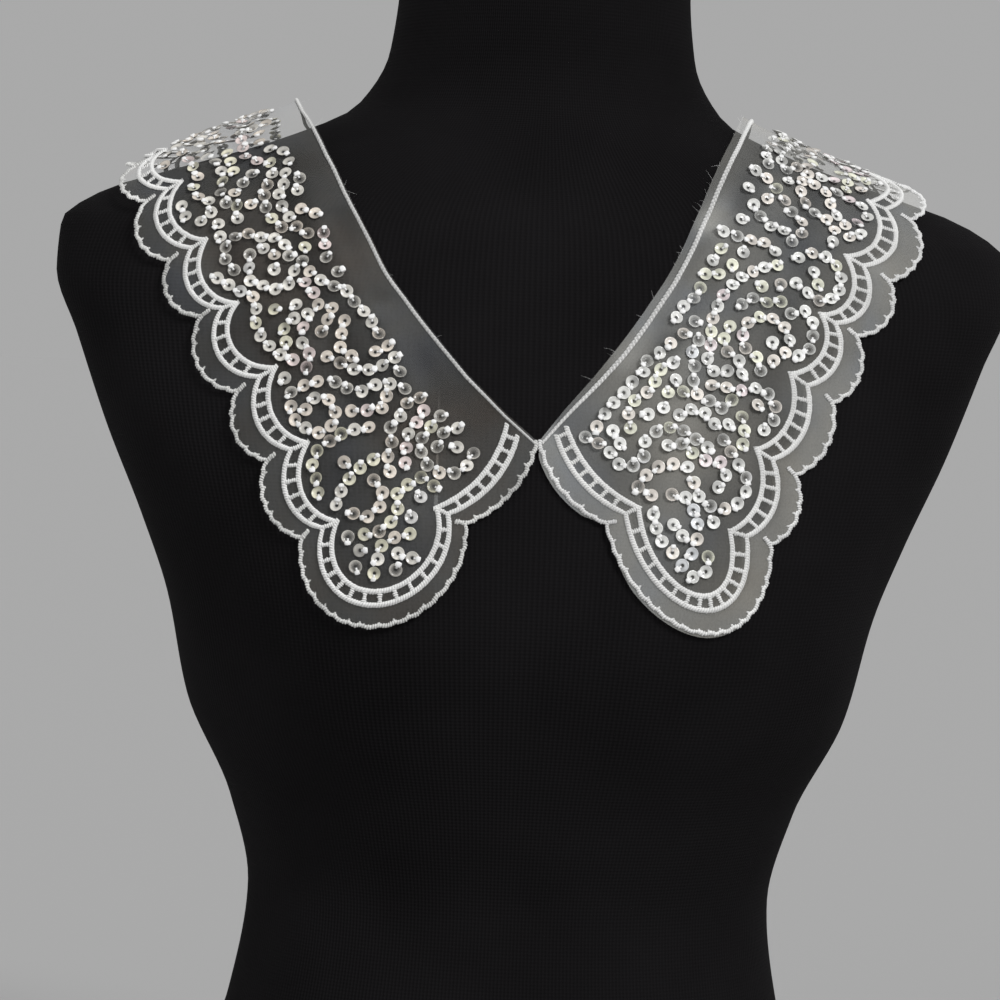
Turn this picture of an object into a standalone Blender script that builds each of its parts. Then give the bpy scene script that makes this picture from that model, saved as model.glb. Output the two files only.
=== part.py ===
"""Embroidered organza collar lying on a limbless dress form.

Millimetres inside the tables and functions, metres in the meshes. +Z is up, the form's front
faces -Y, and the origin is the middle of the whole part's box, on the form's flat base.
"""
import math
from collections import namedtuple

import bmesh
import bpy
import numpy as np
from mathutils import Vector
from mathutils.bvhtree import BVHTree

MM = 0.001

# The tables count from the neck's axis, which lies this far behind the middle of the box
NECK_AXIS_Y = 3.25

# Dress form: level sections from the base up, in millimetres
Ring = namedtuple("Ring", "height half_width front_depth back_depth squareness")
FORM_RINGS = (
    Ring(0, 138, 92, 100, 2.2),
    Ring(40, 146, 97, 108, 2.2),
    Ring(90, 138, 92, 103, 2.2),
    Ring(155, 110, 80, 82, 2.2),
    Ring(200, 103.5, 76, 76, 2.2),
    Ring(236, 112, 86, 80, 2.2),
    Ring(275, 130, 100, 88, 2.3),
    Ring(315, 139, 109, 96, 2.4),
    Ring(345, 150, 106, 100, 2.5),
    Ring(380, 165, 98, 100, 2.6),
    Ring(415, 178, 86, 96, 2.6),
    Ring(440, 187, 75, 88, 2.5),
    Ring(458, 186, 66, 80, 2.3),
    Ring(470, 171, 60, 73, 2.1),
    Ring(482, 136, 58, 67, 2.0),
    Ring(494, 100, 57, 63, 2.0),
    Ring(508, 72, 56, 61, 2.0),
    Ring(530, 60, 55, 59, 2.0),
    Ring(560, 57, 55, 57, 2.0),
    Ring(590, 57, 55, 57, 2.0),
    Ring(600, 54, 52, 54, 2.0),
)
BUST_RISE = 7.0
BUST_OUT = 72.0
BUST_HEIGHT = 318.0
BUST_SPREAD_X = 46.0
BUST_SPREAD_Z = 60.0
FORM_COLUMNS = 36
BODY_STEP = 26.0
CHEST_STEP = 18.0
CHEST_FROM = 264.0
SHOULDER_STEP = 7.5
SHOULDER_FROM = 440.0
SHOULDER_TO = 510.0

# The cloth's places: an angle round the neck from centre front, and a drop down the form's surface
# from the level of NECK_LEVEL
NECK_LEVEL = 560.0
LOWEST_CLOTH = 180.0

# Cloth, cords and gaps
CLEAR_OF_FORM = 1.0
CLOTH_WALL = 1.0
SEAM_GAP = 0.3
CORD_RISE = 0.8
CORD_WIDTH = 1.9
RAIL_WIDTH = 1.7
RUNG_WIDTH = 1.6
RAY_LENGTH = 17.5
LADDER_START = 0.53
CROWN_PULL = 0.93
NECK_ROWS = 3
LAY_REACH = 20.0
LOW_LIFT = 0.4
TIP_MARGIN = 0.4
MARGIN_RUN = 45.0

# One row for each junction of two scallops, from the centre-front tip to the centre back: the notch
# on the outer edge, the ladder's inner cusp and the place on the neck edge, then how far the cloth
# stands off the form at the edge and at the neck. Last comes the scallop that follows: its bulge as
# a share of its chord, how far its crown leans along the collar, how pointed it is and its windows
Junction = namedtuple(
    "Junction", "edge_angle edge_drop cusp_angle cusp_drop neck_angle neck_drop edge_lift neck_lift "
    "bulge lean point windows")

FRONT_LEFT = (
    Junction(0.0, 187, 7.1, 177, 16.1, 163.5, 0, 0, 0.13, 0, 0, 8),
    Junction(13.1, 219, 19.3, 214, 23.0, 152, 0, 0, 0.57, 0.13, 0, 14),
    Junction(39.9, 233, 34.0, 224, 28.1, 143.6, 0, 0, 0.23, 0, 0, 6),
    Junction(47.2, 209, 41.0, 198, 32.0, 137, 0, 0, 0.24, 0, 0, 6),
    Junction(53.7, 189, 49.0, 174, 38.0, 127, 0, 0, 0.27, 0, 0, 6),
    Junction(61.2, 170, 57.2, 158, 44.0, 115, 0, 0, 0.27, 0, 0, 6),
    Junction(67.5, 160, 65.0, 144, 50.5, 104, 0.5, 0.5, 0.27, 0, 0, 6),
    Junction(74.6, 151, 74.2, 134, 59.7, 89.8, 2, 4, 0.27, 0, 0, 6),
    Junction(83.0, 147, 82.5, 133, 79.0, 78.2, 4, 11, 0.17, 0, 0, 6),
    Junction(96.0, 141, 95.5, 126, 94.5, 76.5, 4, 7, 0.27, 0, 0, 6),
    Junction(110.0, 140, 109.5, 124, 107.5, 80, 2, 3, 0.27, 0, 0, 6),
)
FRONT_RIGHT = (
    Junction(0.0, 187, 5.6, 174.6, 12.3, 162, 0, 0, 0.13, 0, 0, 8),
    Junction(13.1, 217, 19.8, 211, 18.2, 150.7, 0, 0, 0.57, 0.25, 0.35, 14),
    Junction(41.0, 229, 33.6, 222, 23.3, 140.9, 0, 0, 0.21, 0, 0, 6),
    Junction(46.0, 206, 39.9, 193, 27.6, 132.5, 0, 0, 0.17, 0, 0, 6),
    Junction(53.7, 184, 47.8, 168, 32.6, 123, 0, 0, 0.22, 0, 0, 6),
    Junction(59.2, 164, 55.3, 150, 37.8, 112.3, 0, 0, 0.25, 0, 0, 6),
    Junction(66.2, 153, 62.9, 134, 43.9, 99.8, 0.5, 0.5, 0.22, 0, 0, 6),
    Junction(75.0, 141, 72.6, 123, 52.6, 81.7, 2, 2, 0.22, 0, 0, 6),
    Junction(86.0, 130, 85.0, 115, 66.7, 67.6, 4, 4, 0.22, 0, 0, 6),
    Junction(98.0, 132, 97.0, 117, 88.5, 61.6, 4, 5, 0.25, 0, 0, 6),
    Junction(111.0, 139, 110.5, 123, 105.0, 68, 2, 2, 0.27, 0, 0, 6),
)
BACK = (
    Junction(124.0, 143, 123.5, 126, 118.5, 74, 0.5, 0.5, 0.27, 0, 0, 6),
    Junction(138.0, 147, 137.5, 130, 134.0, 73, 0, 0, 0.27, 0, 0, 6),
    Junction(152.0, 148, 151.5, 131, 149.5, 72, 0, 0, 0.27, 0, 0, 6),
    Junction(166.0, 149, 166.0, 132, 165.0, 73, 0, 0, 0.27, 0, 0, 6),
    Junction(180.0, 149, 180.0, 132, 180.0, 73, 0, 0, 0.27, 0, 0, 6),
)
Wing = namedtuple("Wing", "name side rows neck_margin")
WINGS = (
    Wing("left", -1, FRONT_LEFT + BACK, TIP_MARGIN),
    Wing("right", 1, FRONT_RIGHT + BACK, 2.7),
)

# Soft folds: a ridge from one place to another on one wing
Fold = namedtuple("Fold", "wing from_angle from_drop to_angle to_drop rise half_width")
FOLDS = (
    Fold("left", 62, 118, 34, 190, 2.2, 9),
    Fold("left", 76, 96, 62, 150, 1.6, 8),
    Fold("right", 60, 96, 22, 178, 2.6, 9),
    Fold("right", 70, 108, 46, 176, 1.6, 8),
)


def clear_scene():
    """Start from an empty scene."""
    for thing in list(bpy.data.objects):
        bpy.data.objects.remove(thing, do_unlink=True)


def make_material(name, colour, roughness, metallic=0.0):
    """One plain Principled material."""
    material = bpy.data.materials.new(name)
    material.use_nodes = True
    shader = material.node_tree.nodes["Principled BSDF"]
    shader.inputs["Base Color"].default_value = (*colour, 1.0)
    shader.inputs["Roughness"].default_value = roughness
    shader.inputs["Metallic"].default_value = metallic
    return material


def ring_curve(column):
    """Heights, values and tangents of one column of FORM_RINGS, never overshooting its rows."""
    heights = np.array([ring.height for ring in FORM_RINGS], float)
    values = np.array([getattr(ring, column) for ring in FORM_RINGS], float)
    rises = np.diff(values) / np.diff(heights)
    before, after = rises[:-1], rises[1:]
    same_way = before * after > 0
    total = np.where(same_way, before + after, 1.0)
    inner = np.where(same_way, 2 * before * after / total, 0.0)
    return heights, values, np.concatenate([rises[:1], inner, rises[-1:]])


RING_CURVES = {column: ring_curve(column) for column in Ring._fields[1:]}


def ring_value(column, height):
    """One column of FORM_RINGS at any height, as a smooth curve."""
    heights, values, tangents = RING_CURVES[column]
    height = np.clip(height, heights[0], heights[-1])
    row = np.clip(np.searchsorted(heights, height, side="right") - 1, 0, len(heights) - 2)
    gap = heights[row + 1] - heights[row]
    t = (height - heights[row]) / gap
    start = values[row] * (2 * t**3 - 3 * t**2 + 1) + tangents[row] * gap * (t**3 - 2 * t**2 + t)
    end = values[row + 1] * (3 * t**2 - 2 * t**3) + tangents[row + 1] * gap * (t**3 - t**2)
    return start + end


def form_level(points):
    """Below zero inside the dress form, zero on its surface and above zero outside."""
    x, y, z = points[..., 0], points[..., 1], points[..., 2]
    half_width = ring_value("half_width", z)
    depth = np.where(y < 0, ring_value("front_depth", z), ring_value("back_depth", z))
    power = ring_value("squareness", z)
    out = ((np.abs(x) - BUST_OUT) / BUST_SPREAD_X)**2
    up = ((z - BUST_HEIGHT) / BUST_SPREAD_Z)**2
    front = np.clip(-y / depth, 0, 1)
    y = y + BUST_RISE * np.exp(-out - up) * front**2 * (3 - 2 * front)
    return ((np.abs(x) / half_width)**power + (np.abs(y) / depth)**power)**(1 / power) - 1


def form_slope(points, step=0.05):
    """The gradient of form_level."""
    slopes = []
    for axis in range(3):
        shift = np.zeros(3)
        shift[axis] = step
        slopes.append((form_level(points + shift) - form_level(points - shift)) / (2 * step))
    return np.stack(slopes, axis=-1)


def settle(points):
    """The form's surface points below some points, and the form's outward normals there."""
    points = np.array(points, float)
    for _ in range(12):
        slope = form_slope(points)
        points = points - (form_level(points) / (slope**2).sum(-1))[..., None] * slope
    slope = form_slope(points)
    return points, slope / np.linalg.norm(slope, axis=-1, keepdims=True)


def on_form(angle, drop):
    """A point of the form's surface from its angle round the neck and its drop down the form."""
    heights = np.arange(NECK_LEVEL, LOWEST_CLOTH, -1.0)
    across, along = math.sin(math.radians(angle)), -math.cos(math.radians(angle))
    low, high = np.full(len(heights), 5.0), np.full(len(heights), 300.0)
    for _ in range(40):
        reach = (low + high) / 2
        outside = form_level(np.stack([reach * across, reach * along, heights], axis=-1)) > 0
        high = np.where(outside, reach, high)
        low = np.where(outside, low, reach)
    run = np.concatenate([[0], np.cumsum(np.hypot(np.diff(low), np.diff(heights)))])
    reach = np.interp(drop, run, low)
    point = np.array([reach * across, reach * along, np.interp(drop, run, heights)])
    return settle(point)[0]


def blend(start, end, share):
    """Straight blend of two points or values."""
    return start + (end - start) * share


def smooth_through(points, at):
    """A Catmull-Rom curve through points, read at whole and part row numbers."""
    points = np.concatenate([[2 * points[0] - points[1]], points, [2 * points[-1] - points[-2]]])
    row = np.clip(np.floor(at).astype(int), 0, len(points) - 4)
    t = (at - row)[:, None]
    a, b, c, d = (points[row + k] for k in range(4))
    return 0.5 * (2 * b + (c - a) * t + (2 * a - 5 * b + 4 * c - d) * t**2
                  + (3 * b - a - 3 * c + d) * t**3)


class Cloth:
    """One half of the collar as a surface: scallops run along it, rays cross it."""

    def __init__(self, wing):
        self.wing = wing
        rows = wing.rows
        self.edge = np.array([on_form(row.edge_angle, row.edge_drop) for row in rows])
        self.cusp = np.array([on_form(row.cusp_angle, row.cusp_drop) for row in rows])
        self.neck = np.array([on_form(row.neck_angle, row.neck_drop) for row in rows])
        self.edge_lift = np.array([row.edge_lift for row in rows], float)
        self.neck_lift = np.array([row.neck_lift for row in rows], float)
        self.folds = [(on_form(fold.from_angle, fold.from_drop), on_form(fold.to_angle, fold.to_drop),
                       fold.rise, fold.half_width) for fold in FOLDS if fold.wing == wing.name]

    def arc(self, scallop, along, ray):
        """Points of the arc that crosses one scallop at a share of its two rays."""
        ends = [blend(self.edge[k], self.cusp[k], ray) for k in (scallop, scallop + 1)]
        middle = (ends[0] + ends[1]) / 2
        chord = ends[1] - ends[0]
        length = np.linalg.norm(chord)
        edge_middle = (self.edge[scallop] + self.edge[scallop + 1]) / 2
        edge_chord = self.edge[scallop + 1] - self.edge[scallop]
        out = np.cross(edge_chord, settle(edge_middle)[1])
        out /= np.linalg.norm(out)
        neck_middle = (self.neck[scallop] + self.neck[scallop + 1]) / 2
        if np.dot(out, edge_middle - neck_middle) < 0:
            out = -out
        rays = [np.linalg.norm(self.cusp[k] - self.edge[k]) for k in (scallop, scallop + 1)]
        height = self.wing.rows[scallop].bulge * np.linalg.norm(edge_chord)
        height += np.dot(edge_middle - middle, out) - CROWN_PULL * ray * sum(rays) / 2
        half_turn = 2 * math.atan(2 * height / length)
        turn = half_turn * (2 * along - 1)
        share = 0.5 + np.sin(turn) / (2 * math.sin(half_turn))
        rise = length * (np.cos(turn) - math.cos(half_turn)) / (2 * math.sin(half_turn))
        row = self.wing.rows[scallop]
        rise = blend(rise, 4 * height * along * (1 - along), row.point)
        share = blend(share, along, row.point) + row.lean * rise / length
        return ends[0] + chord * share[:, None] + out * rise[:, None]

    def places(self, scallop, along, rays):
        """Form points, normals and stand-off for shares along a scallop and down its rays.

        Rays run from 0 at the edge over 1 at the ladder's inner side to 2 at the neck edge.
        """
        along = np.asarray(along, float)
        neck = smooth_through(self.neck, scallop + along)
        inner = self.arc(scallop, along, 1.0)
        lines = [self.arc(scallop, along, ray) if ray <= 1 else blend(inner, neck, ray - 1)
                 for ray in rays]
        points, normals = settle(np.stack(lines, axis=1))
        edge_lift = np.interp(scallop + along, np.arange(len(self.edge_lift)), self.edge_lift)
        neck_lift = np.interp(scallop + along, np.arange(len(self.neck_lift)), self.neck_lift)
        lift = blend(edge_lift[:, None], neck_lift[:, None], np.asarray(rays)[None, :] / 2)
        return points, normals, lift + self.fold_lift(points)

    def fold_lift(self, points):
        """How far the soft folds raise the cloth at some points."""
        lift = np.zeros(points.shape[:-1])
        for start, end, rise, half_width in self.folds:
            line = end - start
            share = np.clip((points - start) @ line / line.dot(line), 0, 1)
            gap = np.linalg.norm(points - start - share[..., None] * line, axis=-1)
            lift = lift + rise * np.exp(-(gap / half_width)**2)
        return lift

    def place(self, points, normals, lift, height):
        """World points at a height over the cloth's inner face, kept clear of the centre seams."""
        points = points + normals * (CLEAR_OF_FORM + lift + height)[..., None]
        points[..., 0] = self.wing.side * np.maximum(points[..., 0], SEAM_GAP / 2)
        return points


HALVES = ((0, 1, 2), (0, 2, 3))


def slab(name, low, high, material, present=None):
    """A closed solid between two grids of points, without the cells that aren't present."""
    rows, columns = low.shape[0] - 1, low.shape[1] - 1
    present = np.ones((rows, columns), bool) if present is None else present
    mesh = bpy.data.meshes.new(name)
    shape = bmesh.new()
    corners = {}

    def corner(face, i, j):
        key = (face, i, j)
        if key not in corners:
            source = low if face == "low" else high
            corners[key] = shape.verts.new(source[i, j] * MM)
        return corners[key]

    for i in range(rows):
        for j in range(columns):
            if not present[i, j]:
                continue
            ring = [(i, j), (i + 1, j), (i + 1, j + 1), (i, j + 1)]
            for half in HALVES:
                shape.faces.new([corner("high", *ring[k]) for k in half])
                shape.faces.new([corner("low", *ring[k]) for k in reversed(half)])
            beside = ((i, j - 1), (i + 1, j), (i, j + 1), (i - 1, j))
            for k, (near_i, near_j) in enumerate(beside):
                inside = 0 <= near_i < rows and 0 <= near_j < columns
                if inside and present[near_i, near_j]:
                    continue
                a, b = ring[k], ring[(k + 1) % 4]
                shape.faces.new([corner("low", *a), corner("low", *b),
                                 corner("high", *b), corner("high", *a)])
    bmesh.ops.recalc_face_normals(shape, faces=shape.faces)
    shape.to_mesh(mesh)
    shape.free()
    return add_object(name, mesh, material)


def add_object(name, mesh, material):
    """Link a mesh as one shaded object with its own material."""
    mesh.materials.append(material)
    mesh.shade_smooth()
    mesh.set_sharp_from_angle(angle=math.radians(40))
    thing = bpy.data.objects.new(name, mesh)
    thing.location.y = NECK_AXIS_Y * MM
    bpy.context.scene.collection.objects.link(thing)
    return thing


def form_heights():
    """Heights of the form's mesh rows, closer together over the shoulders and at the rims."""
    body = np.arange(0, CHEST_FROM, BODY_STEP)
    chest = np.arange(CHEST_FROM, SHOULDER_FROM, CHEST_STEP)
    shoulder = np.arange(SHOULDER_FROM, SHOULDER_TO, SHOULDER_STEP)
    neck = [SHOULDER_TO + 3, 528, NECK_LEVEL, 590, FORM_RINGS[-1].height]
    return np.concatenate([body, chest, shoulder, neck])


def build_form(material):
    """The dress form, closed by flat faces below and on top of the neck."""
    heights = form_heights()
    turns = np.linspace(0, 2 * math.pi, FORM_COLUMNS, endpoint=False)
    mesh = bpy.data.meshes.new("dress_form")
    shape = bmesh.new()
    loops = []
    for height in heights:
        power = ring_value("squareness", height)
        across, along = np.sin(turns), -np.cos(turns)
        reach = (np.abs(across)**power + np.abs(along)**power)**(-1 / power)
        depth = np.where(along < 0, ring_value("front_depth", height), ring_value("back_depth", height))
        x = ring_value("half_width", height) * reach * across
        ring = np.stack([x, depth * reach * along, np.full(len(turns), height)], axis=-1)
        if heights[0] < height < heights[-1]:
            ring = settle(ring)[0]
        loops.append([shape.verts.new(point * MM) for point in ring])
    for below, above in zip(loops, loops[1:]):
        for k in range(FORM_COLUMNS):
            after = (k + 1) % FORM_COLUMNS
            shape.faces.new([below[k], below[after], above[after], above[k]])
    shape.faces.new(list(reversed(loops[0])))
    shape.faces.new(loops[-1])
    bmesh.ops.recalc_face_normals(shape, faces=shape.faces)
    shape.to_mesh(mesh)
    shape.free()
    return add_object("dress_form", mesh, material)


def panel_rays():
    """The rays' shares at which the organza has its rows of points."""
    return [0, LADDER_START, 1] + [1 + (k + 1) / NECK_ROWS for k in range(NECK_ROWS)]


def panel_grid(cloth):
    """Places of one organza half, a column for each window of the ladder."""
    parts = []
    for scallop, row in enumerate(cloth.wing.rows[:-1]):
        last = scallop == len(cloth.wing.rows) - 2
        along = np.arange(row.windows + last) / row.windows
        parts.append(cloth.places(scallop, along, panel_rays()))
    return [np.concatenate(part) for part in zip(*parts)]


def build_panel(cloth, grid, material):
    """One organza half as a thin wall."""
    low = cloth.place(*grid, 0.0)
    high = cloth.place(*grid, CLOTH_WALL)
    return slab("collar_" + cloth.wing.name, low, high, material)


def neck_line(points):
    """A grid's boundary along the neck, from the centre-front tip to the centre back."""
    return np.concatenate([points[0, :-1], points[:, -1]])


def neck_margins(cloth, line):
    """How far the neck cord lies in from the neck edge, which grows from the centre-front tip."""
    run = np.concatenate([[0], np.cumsum(np.linalg.norm(np.diff(line, axis=0), axis=1))])
    return np.interp(run, (0, MARGIN_RUN), (TIP_MARGIN, cloth.wing.neck_margin))


def lay_on_panel(outer, points, normals):
    """Points of the organza's outer face straight below some points near it."""
    rows, columns = outer.shape[:2]
    triangles = []
    for i in range(rows - 1):
        for j in range(columns - 1):
            first = i * columns + j
            ring = (first, first + columns, first + columns + 1, first + 1)
            triangles += [[ring[k] for k in half] for half in HALVES]
    tree = BVHTree.FromPolygons(outer.reshape(-1, 3).tolist(), triangles)
    laid = []
    for point, normal in zip(points, normals):
        found = tree.ray_cast(Vector(point + normal * LAY_REACH), Vector(-normal))[0]
        laid.append(found if found is not None else tree.find_nearest(Vector(point))[0])
    return np.array(laid)


def build_neck_cord(cloth, grid, material):
    """The satin cord along the neck edge, a strip laid on the organza."""
    outer = cloth.place(*grid, CLOTH_WALL)
    line = neck_line(outer)
    beside = np.concatenate([outer[1, :-1], outer[1:2, -2], outer[1:, -2]])
    tangent = np.gradient(line, axis=0)
    tangent /= np.linalg.norm(tangent, axis=1, keepdims=True)
    inward = beside - line
    inward -= (inward * tangent).sum(axis=1, keepdims=True) * tangent
    inward /= np.linalg.norm(inward, axis=1, keepdims=True)
    normal = np.cross(tangent, inward)
    outward = neck_line(grid[1]) * np.array([cloth.wing.side, 1, 1])
    normal *= np.sign((normal * outward).sum(axis=1, keepdims=True))
    stands_off = neck_line(grid[2]) > LOW_LIFT
    kept = [k for k in range(len(line)) if stands_off[k] or k % 2 == 0]
    margin = neck_margins(cloth, line)[kept, None]
    line, inward, normal = line[kept], inward[kept], normal[kept]
    low, high = [], []
    for reach in (margin, margin + CORD_WIDTH):
        laid = lay_on_panel(outer, line + inward * reach, normal)
        low.append(laid + normal * SEAM_GAP)
        high.append(laid + normal * (SEAM_GAP + CORD_RISE))
    faces = [np.stack(face, axis=1) for face in (low, high)]
    for face in faces:
        face[..., 0] = cloth.wing.side * np.maximum(cloth.wing.side * face[..., 0], SEAM_GAP / 2)
    return slab("neck_cord_" + cloth.wing.name, *faces, material)


def clear_of_neck_cord(cloth, grid, points):
    """Whether each row of points lies wholly beyond the neck cord near the centre front."""
    line = neck_line(grid[0])
    need = neck_margins(cloth, line) + CORD_WIDTH + 2 * SEAM_GAP
    gaps = np.linalg.norm(points[:, :, None, :] - line[None, None], axis=-1)
    return (gaps > need).all(axis=(1, 2))


def build_scallop_edge(cloth, grid, material):
    """The satin cordonnet along the scalloped outer edge."""
    rays = [0, CORD_WIDTH / RAY_LENGTH]
    parts = []
    for scallop, row in enumerate(cloth.wing.rows[:-1]):
        last = scallop == len(cloth.wing.rows) - 2
        along = np.arange(row.windows + last) / row.windows
        parts.append(cloth.places(scallop, along, rays))
    points, normals, lift = (np.concatenate(part) for part in zip(*parts))
    start = clear_of_neck_cord(cloth, grid, points).argmax()
    points, normals, lift = points[start:], normals[start:], lift[start:]
    base = CLOTH_WALL + SEAM_GAP
    low = cloth.place(points, normals, lift, base)
    high = cloth.place(points, normals, lift, base + CORD_RISE)
    return slab("scallop_edge_" + cloth.wing.name, low, high, material)


def ladder_stations(cloth, scallop):
    """Shares along a scallop where its rungs begin and end, and whether a rung follows each."""
    row = cloth.wing.rows[scallop]
    line = cloth.arc(scallop, np.linspace(0, 1, 25), (LADDER_START + 1) / 2)
    length = np.linalg.norm(np.diff(line, axis=0), axis=1).sum()
    half_rung = RUNG_WIDTH / 2 / length
    stations = [(0.0, True), (half_rung, False)]
    for rung in range(1, row.windows):
        stations += [(rung / row.windows - half_rung, True), (rung / row.windows + half_rung, False)]
    return stations + [(1 - half_rung, True)]


def build_ladder(cloth, grid, material):
    """The ladder band: two cords joined by rungs, with a window between each two rungs."""
    rail = RAIL_WIDTH / RAY_LENGTH
    rays = [LADDER_START, LADDER_START + rail, 1 - rail, 1]
    parts, rungs = [], []
    for scallop in range(len(cloth.wing.rows) - 1):
        stations = ladder_stations(cloth, scallop)
        if scallop == len(cloth.wing.rows) - 2:
            stations.append((1.0, False))
        parts.append(cloth.places(scallop, [share for share, _ in stations], rays))
        rungs += [rung for _, rung in stations]
    points, normals, lift = (np.concatenate(part) for part in zip(*parts))
    start = clear_of_neck_cord(cloth, grid, points).argmax()
    while not rungs[start]:
        start += 1
    present = np.ones((len(points) - 1 - start, 3), bool)
    present[:, 1] = rungs[start:-1]
    base = CLOTH_WALL + SEAM_GAP
    low = cloth.place(points[start:], normals[start:], lift[start:], base)
    high = cloth.place(points[start:], normals[start:], lift[start:], base + CORD_RISE)
    return slab("ladder_" + cloth.wing.name, low, high, material, present)


def main():
    clear_scene()
    build_form(make_material("jersey_black", (0.012, 0.012, 0.013), 0.85))
    for wing in WINGS:
        cloth = Cloth(wing)
        grid = panel_grid(cloth)
        build_panel(cloth, grid, make_material("organza_" + wing.name, (0.86, 0.86, 0.87), 0.5))
        thread = (0.93, 0.93, 0.94)
        build_neck_cord(cloth, grid, make_material("neck_satin_" + wing.name, thread, 0.35))
        build_scallop_edge(cloth, grid, make_material("edge_satin_" + wing.name, thread, 0.35))
        build_ladder(cloth, grid, make_material("ladder_satin_" + wing.name, thread, 0.35))


main()
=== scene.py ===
from collections import namedtuple
from math import cos, pi, radians, sin

import bpy
import numpy as np
from mathutils import Matrix, Vector
from mathutils.bvhtree import BVHTree
from numpy.linalg import norm


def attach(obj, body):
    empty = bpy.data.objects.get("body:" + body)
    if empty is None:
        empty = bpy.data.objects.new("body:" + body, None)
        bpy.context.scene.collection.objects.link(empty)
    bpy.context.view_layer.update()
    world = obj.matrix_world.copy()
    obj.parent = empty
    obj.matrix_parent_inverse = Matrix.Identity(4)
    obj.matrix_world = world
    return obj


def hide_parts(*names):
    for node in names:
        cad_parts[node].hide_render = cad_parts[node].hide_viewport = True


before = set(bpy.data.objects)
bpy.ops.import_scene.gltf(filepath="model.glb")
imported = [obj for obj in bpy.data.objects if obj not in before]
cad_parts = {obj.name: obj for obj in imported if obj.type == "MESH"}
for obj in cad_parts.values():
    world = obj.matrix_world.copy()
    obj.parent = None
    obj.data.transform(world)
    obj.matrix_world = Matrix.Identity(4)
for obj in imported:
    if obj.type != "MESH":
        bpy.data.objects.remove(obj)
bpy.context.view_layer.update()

# Tables and functions work in millimetres from the neck's axis, meshes in metres from the row frame.
MM = 0.001
NECK_AXIS_Y = 3.25

# Dress form: level sections from the base up, as in the solids
Ring = namedtuple("Ring", "height half_width front_depth back_depth squareness")
FORM_RINGS = [Ring(*row) for row in (
    (0, 138, 92, 100, 2.2),
    (40, 146, 97, 108, 2.2),
    (90, 138, 92, 103, 2.2),
    (155, 110, 80, 82, 2.2),
    (200, 103.5, 76, 76, 2.2),
    (236, 112, 86, 80, 2.2),
    (275, 130, 100, 88, 2.3),
    (315, 139, 109, 96, 2.4),
    (345, 150, 106, 100, 2.5),
    (380, 165, 98, 100, 2.6),
    (415, 178, 86, 96, 2.6),
    (440, 187, 75, 88, 2.5),
    (458, 186, 66, 80, 2.3),
    (470, 171, 60, 73, 2.1),
    (482, 136, 58, 67, 2.0),
    (494, 100, 57, 63, 2.0),
    (508, 72, 56, 61, 2.0),
    (530, 60, 55, 59, 2.0),
    (560, 57, 55, 57, 2.0),
    (590, 57, 55, 57, 2.0),
    (600, 54, 52, 54, 2.0),
)]
BUST_RISE = 7.0
BUST_OUT = 72.0
BUST_HEIGHT = 318.0
BUST_SPREAD_X = 46.0
BUST_SPREAD_Z = 60.0
NECK_LEVEL = 560.0
LOWEST_CLOTH = 180.0
TIP_MARGIN = 0.4
MARGIN_RUN = 45.0
SHORTEST_REACH, LONGEST_REACH = 5.0, 300.0
HALVINGS = 40

# The cloth over the form, and the heights of what lies on it over the cloth solid's inner face
CLEAR_OF_FORM = 1.0
SEAM_GAP = 0.3
RAY_LENGTH = 17.5
LADDER_START = 0.53
CROWN_PULL = 0.93
ORGANZA_HEIGHT = 0.55
ORGANZA_WALL = 0.16
CORD_FOOT = 0.6

# One row for each junction of two scallops, as in the solids
Junction = namedtuple(
    "Junction", "edge_angle edge_drop cusp_angle cusp_drop neck_angle neck_drop edge_lift neck_lift "
    "bulge lean point windows", defaults=(0, 0, 6))
FRONT_LEFT = [Junction(*row) for row in (
    (0.0, 187, 7.1, 177, 16.1, 163.5, 0, 0, 0.13, 0, 0, 8),
    (13.1, 219, 19.3, 214, 23.0, 152, 0, 0, 0.57, 0.13, 0, 14),
    (39.9, 233, 34.0, 224, 28.1, 143.6, 0, 0, 0.23),
    (47.2, 209, 41.0, 198, 32.0, 137, 0, 0, 0.24),
    (53.7, 189, 49.0, 174, 38.0, 127, 0, 0, 0.27),
    (61.2, 170, 57.2, 158, 44.0, 115, 0, 0, 0.27),
    (67.5, 160, 65.0, 144, 50.5, 104, 0.5, 0.5, 0.27),
    (74.6, 151, 74.2, 134, 59.7, 89.8, 2, 4, 0.27),
    (83.0, 147, 82.5, 133, 79.0, 78.2, 4, 11, 0.17),
    (96.0, 141, 95.5, 126, 94.5, 76.5, 4, 7, 0.27),
    (110.0, 140, 109.5, 124, 107.5, 80, 2, 3, 0.27),
)]
FRONT_RIGHT = [Junction(*row) for row in (
    (0.0, 187, 5.6, 174.6, 12.3, 162, 0, 0, 0.13, 0, 0, 8),
    (13.1, 217, 19.8, 211, 18.2, 150.7, 0, 0, 0.57, 0.25, 0.35, 14),
    (41.0, 229, 33.6, 222, 23.3, 140.9, 0, 0, 0.21),
    (46.0, 206, 39.9, 193, 27.6, 132.5, 0, 0, 0.17),
    (53.7, 184, 47.8, 168, 32.6, 123, 0, 0, 0.22),
    (59.2, 164, 55.3, 150, 37.8, 112.3, 0, 0, 0.25),
    (66.2, 153, 62.9, 134, 43.9, 99.8, 0.5, 0.5, 0.22),
    (75.0, 141, 72.6, 123, 52.6, 81.7, 2, 2, 0.22),
    (86.0, 130, 85.0, 115, 66.7, 67.6, 4, 4, 0.22),
    (98.0, 132, 97.0, 117, 88.5, 61.6, 4, 5, 0.25),
    (111.0, 139, 110.5, 123, 105.0, 68, 2, 2, 0.27),
)]
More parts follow.
